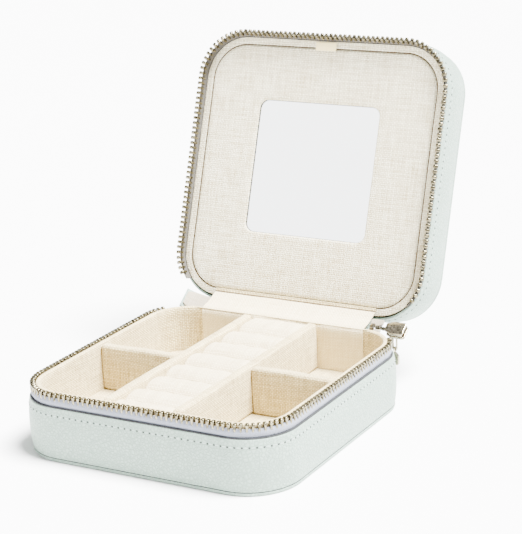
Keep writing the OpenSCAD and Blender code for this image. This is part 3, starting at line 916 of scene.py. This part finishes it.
def roll(node, seed, flat_side=0):
    """A stuffed ring roll: a plump pillow with soft shoulders, drawn down a little at its ends."""
    low, high = node_box(node)
    half_w = (high[1] - low[1]) / 2 + 0.1
    centre_y = (low[1] + high[1]) / 2
    x_steps, y_steps = 48, 30
    reach = (high[0] - low[0]) / 2
    wave = np.random.default_rng(seed)
    bumps = wave.uniform(-1, 1, 6)
    verts = []
    for i in range(x_steps + 1):
        t = -1 + 2 * i / x_steps
        end = 1 - abs(t)
        drop = 0.9 * math.exp(-end / 0.035) + 0.35 * math.exp(-end / 0.2)
        lump = 0.09 * sum(b * math.sin((k + 1) * 2.3 * t + b * 3) for k, b in enumerate(bumps))
        ring = [(t * reach, centre_y - half_w + 0.35, low[2])]
        for j in range(y_steps + 1):
            u = -math.cos(math.pi * j / y_steps)
            deep = 0.35 if u * flat_side > 0 else 3.3
            fall = deep * abs(u) ** 2.6
            if abs(u) > 0.93 and u * flat_side <= 0:
                fall += 4.5 * (abs(u) - 0.93) / 0.07
            ring.append((t * reach, centre_y + half_w * u, high[2] + 0.25 - drop + lump - fall))
        ring.append((t * reach, centre_y + half_w - 0.35, low[2]))
        verts.append(ring)
    n = y_steps + 3
    verts = np.array(verts).reshape(-1, 3)
    faces = quads(x_steps + 1, n) + end_caps(x_steps + 1, n)
    piece = make_piece(node + "_pillow", verts, faces, LINEN_LIP, "base", "linen", angle=60)
    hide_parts(node)


for number in range(1, 8):
    roll(f"ring_roll_{number}", number, flat_side=1 if number == 1 else 0)
roll("ring_roll_front_pad", 11, flat_side=-1)


# ---------------------------------------------------------------- spine
def rear_stations(x0, x1):
    """Stations along the rear of the outline from x0 to x1."""
    full = outline_stations(arc_steps=40, side_steps=24)
    rear = [s for s in full if s[1] > CORE - 0.01 and s[3] > 0.05]
    rear.sort(key=lambda s: s[0] + s[2] * CORNER_R)
    return np.array([s for s in rear if x0 <= s[0] + s[2] * CORNER_R <= x1])


SPINE_LOW, SPINE_HIGH = BASE_TOP + 0.1, LID_RIM - 0.1


def strip_section(outer, inner, radius, steps):
    """The spine's section between two insets, from crease to crease."""
    corners = [(inner, SPINE_LOW), (inner, SPINE_HIGH), (outer, SPINE_HIGH), (outer, SPINE_LOW)]
    return rounded_loop(corners, radius, steps)


def spine_piece(name, node, profile, x0, x1, material, slot):
    verts, faces = sweep(profile, rear_stations(x0, x1), closed=False)
    piece = make_piece(name, verts, faces, material, "spine", slot, OPEN_SPINE)
    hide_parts(node)


spine_low, spine_high = shut_box("spine_leather", OPEN_SPINE)
spine_piece("spine_strip", "spine_leather", strip_section(0.1, LEATHER_T, 0.5, 4),
            spine_low[0], spine_high[0], LEATHER, "leather")
inner_low, inner_high = shut_box("spine_lining", OPEN_SPINE)
spine_piece("spine_inside", "spine_lining", strip_section(1.25, 1.85, 0.2, 3),
            inner_low[0], inner_high[0], GREY_TAPE, "hinge_tape")


def lobe(x0, x1, z0, z1, end_x):
    """A tape end folded into a rounded flap that narrows to a half-oval at end_x."""
    outer, inner = 1.25, 1.95
    corners = [(inner, z0 + 0.7), (inner, z1 - 0.7), (outer, z1), (outer, z0)]
    profile = rounded_loop(corners, [0.9, 0.9, 0.2, 0.2], 5)
    middle = (z0 + z1) / 2
    reach = min(5.0, (x1 - x0) * 0.6)

    def narrow(verts):
        verts = verts.copy()
        t = np.clip(1 - np.abs(verts[:, 0] - end_x) / reach, 0, 1)
        verts[:, 2] = middle + (verts[:, 2] - middle) * np.sqrt(np.clip(1 - t ** 2, 0.03, 1))
        return verts

    return sweep(profile, rear_stations(x0, x1), closed=False, warp=narrow)


def tape_lobes(node, name, flaps, end):
    """A tape end's flaps; end is 0 when they narrow to the left and 1 when they narrow to the right."""
    reach = [corner[0] for corner in shut_box(node, OPEN_SPINE)]
    parts = [lobe(*reach, z0, z1, reach[end]) for z0, z1 in flaps]
    piece = make_piece(name, *joined(parts), GREY_TAPE, "spine", "hinge_tape", OPEN_SPINE)
    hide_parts(node)


tape_lobes("spine_tape_left", "spine_tape_end_left", [(SPINE_LOW, SPINE_HIGH)], 0)
tape_lobes("spine_tape_right", "spine_tape_end_right",
           [(SPINE_LOW, MID_Z - 0.3), (MID_Z + 0.3, SPINE_HIGH)], 1)


# ---------------------------------------------------------------- slider and pull
def stamped(outline, y0, y1, edge=0.18):
    """A plate with an (x, z) outline and softened edges, between two depths in Y."""
    outline = np.array(outline)
    centre = outline.mean(0)
    span = np.abs(outline - centre).max(0)
    steps = ((0, 1), (0.4, 0.3), (1, 0))
    levels = [(y0 + edge * t, edge * f) for t, f in steps]
    levels += [(y1 - edge * t, edge * f) for t, f in steps[::-1]]
    loops = []
    for y, shrink in levels:
        ring = centre + (outline - centre) * (1 - shrink / span)
        loops.append(np.column_stack([ring[:, 0], np.full(len(ring), y), ring[:, 1]]))
    n, m = len(outline), len(loops)
    return np.concatenate(loops), quads(m, n) + end_caps(m, n)


def wire(points, radius, sides=10):
    """A closed loop of round wire through flat-lying points."""
    points = np.array(points, float)
    ahead = np.roll(points, -1, 0) - np.roll(points, 1, 0)
    ahead /= np.linalg.norm(ahead, axis=1)[:, None]
    flat = np.cross(points[1] - points[0], points[len(points) // 3] - points[0])
    flat /= np.linalg.norm(flat)
    side = np.cross(ahead, flat)
    verts = [p + radius * (math.cos(t) * s + math.sin(t) * flat)
             for p, s in zip(points, side) for t in ring_angles(sides)]
    return np.array(verts), quads(len(points), sides, wrap=True)


def slider_body():
    """Two shield-shaped plates with turned-in flanges."""
    low, high = shut_box("zip_slider", OPEN_SPINE)
    x0, x1, half_w = low[0], high[0], 3.2
    y_in, y_out = 56.15, 59.05
    shield = rounded_loop(
        [(x0, MID_Z - 1.9), (x0 + 3.2, MID_Z - half_w), (x1, MID_Z - half_w), (x1, MID_Z + half_w),
         (x0 + 3.2, MID_Z + half_w), (x0, MID_Z + 1.9)], [0.8, 1.4, 1.2, 1.2, 1.4, 0.8], 5)
    parts = [stamped(shield, y_in, y_in + 0.8, 0.25), stamped(shield, y_out, y_out + 0.8, 0.25)]
    for side in (-1, 1):
        outer, inner = MID_Z + side * half_w, MID_Z + side * (half_w - 0.6)
        flange = rounded_loop([(x0 + 2.6, outer), (x1 - 0.5, outer), (x1 - 0.5, inner), (x0 + 2.6, inner)],
                              [0.15] * 4, 3)
        parts.append(stamped(flange, y_in + 0.7, y_in + 1.45, 0.1))
        parts.append(stamped(flange, y_out - 0.65, y_out + 0.1, 0.1))
    verts, faces = joined(parts)
    piece = make_piece("slider_body", verts, faces, SLIDER, "slider", "slider_metal", OPEN_SPINE)
    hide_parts("zip_slider")


def slider_bridge():
    """Two cheeks that stand off the slider's face, and the bar between them."""
    pin = np.array(joint("link_swing")["pos_m"]) / MM
    root = np.array([HALF + 3.4, BASE_TOP + 2.3])
    foot = [(pin[1] - 0.9, pin[2] - 0.5), (pin[1] + 0.9, pin[2] - 0.5), (pin[1] + 0.9, pin[2] + 0.6),
            tuple(root + [1.9, 0.3]), tuple(root + [0.1, 0.9]), (pin[1] - 0.9, pin[2] + 0.4)]
    cheek = rounded_loop(foot, [0.4, 0.7, 0.5, 0.1, 0.1, 0.5], 4)
    parts = [prism(cheek, pin[0] + x - 0.45, pin[0] + x + 0.45, 2) for x in (-1.95, 1.95)]
    bar = [(pin[1] + 0.58 * math.cos(t), pin[2] + 0.58 * math.sin(t)) for t in ring_angles(12)]
    parts.append(prism(bar, pin[0] - 2, pin[0] + 2, 4))
    make_piece("slider_bridge", *joined(parts), SLIDER, "slider", "slider_metal")


def pull():
    """A wire link and a small rounded tab below it."""
    pin = np.array(joint("link_swing")["pos_m"]) / MM
    eye = np.array(joint("tab_swing")["pos_m"]) / MM
    x0, x1 = pin[0] - 0.85, pin[0] + 0.85
    corners = [(x0, pin[2] + 0.9), (x1, pin[2] + 0.9), (x1, eye[2]), (x0, eye[2])]
    loop = [(x, pin[1], z) for x, z in rounded_loop(corners, [0.8] * 4, 6)]
    piece = make_piece("pull_wire", *wire(loop, 0.45), SLIDER, "link", "slider_metal", angle=60)
    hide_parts("pull_link")
    low, high = node_box("pull_tab")
    ring = [(eye[0], eye[1] + 0.95 * math.cos(t), eye[2] + 0.95 * math.sin(t)) for t in ring_angles(24)]
    top = eye[2] - 1.2
    face = rounded_loop(
        [(low[0], low[2]), (high[0], low[2]), (high[0], top - 1.4), (eye[0] + 0.5, top), (eye[0] - 0.5, top),
         (low[0], top - 1.4)], [1.3, 1.3, 0.8, 0.2, 0.2, 0.8], 6)
    parts = [wire(ring, 0.38), stamped(face, eye[1] - 0.58, eye[1] + 0.58, 0.3)]
    piece = make_piece("pull_plate", *joined(parts), SLIDER, "tab", "slider_metal", angle=50)
    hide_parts("pull_tab")


slider_body()
slider_bridge()
pull()


# ---------------------------------------------------------------- lid lining and mirror panel
RIM_IN, RIM_INNER = 1.95, 5.0
rim_face, rim_back = (corner[2] for corner in shut_box("lid_lining_frame", OPEN_LID))


def lid_frame():
    profile = rounded_loop(
        [(RIM_INNER, rim_back), (RIM_INNER, rim_face), (RIM_IN, rim_face), (RIM_IN, rim_face + 0.62),
         (3.6, rim_face + 0.75), (3.6, rim_back)], [0, 0.75, 0.7, 0.25, 0.1, 0], 6)
    verts, faces = sweep(profile)
    piece = make_piece("lid_frame_linen", verts, faces, LINEN_PANEL, "lid", "linen", OPEN_LID)
    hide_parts("lid_lining_frame")


lid_frame()
# Painted shade: a brown bead in the groove between the mirror panel and the rim.
bead("lid_groove_painted_shade", 5.15, rim_face + 0.65, 0.34, 1.2, SEAM_SHADE, "linen", "lid", OPEN_LID)

face_low, face_high = shut_box("mirror_panel_linen", OPEN_LID)
PANEL_IN = HALF - face_high[0]
glass_low, glass_high = shut_box("mirror_glass", OPEN_LID)
WINDOW = glass_high[0] - glass_low[0] - 1.6
WINDOW_R = 4.2
window_y = (glass_low[1] + glass_high[1]) / 2


def window_ring(size, radius, z):
    """A rounded square loop with the same number of points as the outline has stations."""
    scale = (size / 2 - radius) / CORE
    x = STATIONS[:, 0] * scale + STATIONS[:, 2] * radius
    y = STATIONS[:, 1] * scale + STATIONS[:, 3] * radius + window_y
    return np.stack([x, y, np.full(len(STATIONS), z)], 1)


def panel_face():
    """The linen over the mirror panel: its outer edge turns over, its window's edge turns in to the glass."""
    z = face_low[2]
    edge = ((0.5, 3.0), (0, 2.9), (0, 0.6), (0.04, 0.1), (0.2, -0.35), (0.5, -0.7), (0.95, -0.92),
            (1.5, -1.0))
    loops = [outline_ring(PANEL_IN + inset, z + height) for inset, height in edge]
    outer = loops[-1]
    inner = window_ring(WINDOW + 1.7, WINDOW_R + 0.85, z - 0.95)
    for k in range(1, 12):
        t = k / 12
        ring = outer * (1 - t) + inner * t
        ring[:, 2] -= 0.18 * math.sin(math.pi * t)
        loops.append(ring)
    loops.append(inner)
    for wider, height in ((0.9, -0.82), (0.35, -0.5), (0, 0.0), (0, 0.56), (1.0, 0.56)):
        loops.append(window_ring(WINDOW + wider, WINDOW_R + wider / 2, z + height))
    mesh = np.concatenate(loops), quads(len(loops), len(outer), wrap=True)
    piece = make_piece("mirror_panel_cover", *mesh, LINEN_PANEL, "mirror_panel", "linen", OPEN_LID)
    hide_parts("mirror_panel_linen")


panel_face()


def ribbon_tab():
    """A folded ribbon loop at the panel's free edge."""
    low, high = shut_box("mirror_ribbon_tab", OPEN_LID)
    edge = low[1]
    z = low[2]
    thick = 0.42
    fold = ((0, 0.35), (0.12, 0.12), (0.6, 0.0), (2.4, 0.02), (3.6, 0.25), (4.6, 0.62))
    top = [(edge + y, z + h) for y, h in fold]
    under = [(y, h + thick) for y, h in reversed(top)]
    verts, faces = prism(top + under, low[0] + 0.05, high[0] - 0.05, 12)
    piece = make_piece("ribbon_loop", verts, faces, RIBBON, "mirror_panel", "ribbon", OPEN_LID)
    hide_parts("mirror_ribbon_tab")


def window_edge():
    """A dark ring round the glass's edge inside the linen window: painted shade in the gap."""
    z = glass_low[2] - 0.04
    loops = [window_ring(WINDOW + wide, WINDOW_R + wide / 2, height)
             for wide, height in ((0.3, z), (0.3, z - 0.3), (0.0, z - 0.42), (-0.35, z - 0.3), (-0.45, z))]
    mesh = np.concatenate(loops), quads(len(loops), len(STATIONS), wrap=True)
    make_piece("window_edge_painted_shade", *mesh, SHADE_PAINT, "mirror_panel", "board", OPEN_LID)


ribbon_tab()
window_edge()


# ---------------------------------------------------------------- linen hinge band, in two blended pieces
BAND_WIDTH = 79.0
BAND_T = 0.45


def band_section():
    """The band's centre line, as (y, z): up the rear wall, over the lip and the spine, to the lid's rim."""
    band_low = node_box("hinge_band_base")[0]
    wall_y = band_low[1] + 0.25
    lip_z = LIP_TOP + 0.32
    crease = OPEN_LID @ (Vector((0, HALF - 4.05, rim_face - 0.25)) * MM) / MM
    start = [(wall_y, band_low[2]), (wall_y, 14.0), (wall_y, 20.0), (wall_y - 0.05, 25.0),
             (wall_y + 0.1, lip_z - 1.4), (wall_y + 0.55, lip_z - 0.35), (wall_y + 1.5, lip_z)]
    span = [(HALF - 0.4, lip_z + 0.38), (HALF + 1.8, lip_z + 0.98), (HALF + 4.2, lip_z + 1.93),
            (HALF + 6.6, lip_z + 3.08)]
    return start, span, (crease.y, crease.z)


def ribbon_mesh(points, ripple, x_steps=36, seed=3):
    """A strip of the band along a (y, z) line, with a soft ripple. Returns its mesh and the line's length."""
    points = np.array(points, float)
    length = np.concatenate([[0], np.cumsum(np.linalg.norm(np.diff(points, axis=0), axis=1))])
    even = np.linspace(0, length[-1], max(10, int(length[-1] / 0.9)))
    line = np.stack([np.interp(even, length, points[:, i]) for i in range(2)], 1)
    for _ in range(2):
        line[1:-1] = (line[:-2] + 2 * line[1:-1] + line[2:]) / 4
    tangent = np.gradient(line, axis=0)
    tangent /= np.linalg.norm(tangent, axis=1)[:, None]
    normal = np.stack([-tangent[:, 1], tangent[:, 0]], 1)
    xs = np.linspace(-BAND_WIDTH / 2, BAND_WIDTH / 2, x_steps + 1)
    rows = []
    for k, (p, q) in enumerate(zip(line, normal)):
        t = k / (len(line) - 1)
        wave = np.sin(xs * 0.16 + seed) + 0.6 * np.sin(xs * 0.37 + 2 * seed)
        lift = ripple * math.sin(math.pi * t) * wave
        rows.append(np.column_stack([xs, p[0] + q[0] * lift, p[1] + q[1] * lift]))
    half_thick = np.concatenate([np.zeros((len(line), 1)), normal * BAND_T / 2], 1)[:, None, :]
    top, low = np.array(rows) + half_thick, np.array(rows) - half_thick
    m, n = len(line), len(xs)
    verts = np.concatenate([top.reshape(-1, 3), low.reshape(-1, 3)])
    off = m * n
    faces = []
    for i in range(m - 1):
        for j in range(n - 1):
            a = i * n + j
            faces.append((a, a + 1, a + n + 1, a + n))
            faces.append((off + a, off + a + n, off + a + n + 1, off + a + 1))
    for i in range(m - 1):
        a, b = i * n, i * n + n - 1
        faces.append((a, a + n, off + a + n, off + a))
        faces.append((b + n, b, off + b, off + b + n))
    for j in range(n - 1):
        a, b = j, (m - 1) * n + j
        faces.append((a + 1, a, off + a, off + a + 1))
        faces.append((b, b + 1, off + b + 1, off + b))
    return (verts, faces), length[-1]


def hinge_band():
    """The cloth band in two blended pieces, its roll on the lid's rim in the darker interior linen as painted
    shade, and a dark line of painted shade below the roll.
    """
    start, span, crease = band_section()
    middle = span[2]
    lower, lower_length = ribbon_mesh(start + span[:3], ripple=0.12)
    upper, _ = ribbon_mesh([middle, span[3], crease], ripple=0.06)
    low_piece = make_piece("hinge_band_lower", *lower, LINEN_BAND, None, "linen", angle=70)
    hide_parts("hinge_band_base", "hinge_band_span")
    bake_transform(low_piece)
    high_piece = make_piece("hinge_band_upper", *upper, LINEN_BAND, None, "linen", angle=70)
    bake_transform(high_piece)
    y1, y0 = HALF - 3.55, HALF - RIM_INNER - 0.2
    corners = [(-y1, rim_face - 0.02), (-y1, rim_face - 0.95), (-y0, rim_face - 0.8), (-y0, rim_face - 0.02)]
    roll_over = [(-y, z) for y, z in rounded_loop(corners, [0.1, 0.5, 0.3, 0.1], 5)]
    rim_roll = prism(roll_over, -BAND_WIDTH / 2, BAND_WIDTH / 2, 24)
    # The roll takes the darker interior linen rather than the band's: painted shade under the panel's edge.
    painted_shade_roll = make_piece("hinge_band_top", *rim_roll, LINEN, "lid", "linen", OPEN_LID)
    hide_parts("hinge_band_lid")
    # Painted shade: a dark line along the crease below the roll.
    crease_shade_ring = [(y1 - 0.05 + 0.3 * math.cos(t), rim_face - 0.95 + 0.22 * math.sin(t)) for t in ring_angles(10)]
    crease_shade_mesh = prism(crease_shade_ring, -BAND_WIDTH / 2, BAND_WIDTH / 2, 24)
    make_piece("hinge_band_crease_painted_shade", *crease_shade_mesh, SEAM_SHADE, "lid", "linen", OPEN_LID)


hinge_band()


# ---------------------------------------------------------------- finishes on the CAD nodes that stay
def refinish(node, material):
    materials = frame["nodes"][node].data.materials
    materials.clear()
    materials.append(material)


for node in ("base_board_tray", "lid_board_tray", "mirror_frame_board", "mirror_backing_board"):
    refinish(node, BOARD)
for node in ("lid_pocket_lining", "mirror_panel_back_linen"):
    refinish(node, LINEN_PANEL)
refinish("base_floor_foam", FOAM)
refinish("mirror_glass", MIRROR)
refinish("zip_chain_end", TEETH)
refinish("zip_end_stop", SLIDER)
